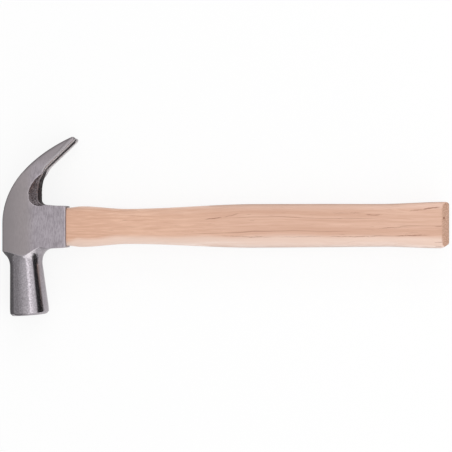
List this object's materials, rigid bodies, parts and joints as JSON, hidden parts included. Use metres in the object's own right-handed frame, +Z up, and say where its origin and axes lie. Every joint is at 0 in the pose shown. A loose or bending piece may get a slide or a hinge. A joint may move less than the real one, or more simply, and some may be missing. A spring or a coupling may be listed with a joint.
{
  "type": "curved claw hammer",
  "caption": "Curved claw hammer: forged steel head with a round poll, flat cheeks and a split claw, wedged onto a flat-sided wooden handle with a flared, bevelled butt.",
  "frame": {"origin": "where the poll's axis crosses the handle's axis, on the level of the surface that the hammer lies on; the lower cheek is half a millimetre above it, because the striking face is wider than the cheeks", "axes": "+X along the handle from the head to the butt, +Y from the striking face to the claw, +Z up from the lower cheek to the upper one"},
  "size_m": [0.2641, 0.1064, 0.023],
  "materials": {
    "forged_steel": "satin",
    "handle_wood": "satin",
    "wedge_wood": "matte",
    "wedge_steel": "matte"
  },
  "bodies": {
    "root": {"head": "forged_steel", "handle": "handle_wood", "wooden_wedge": "wedge_wood", "steel_wedge_face_side": "wedge_steel", "steel_wedge_claw_side": "wedge_steel"}
  },
  "joints": []
}
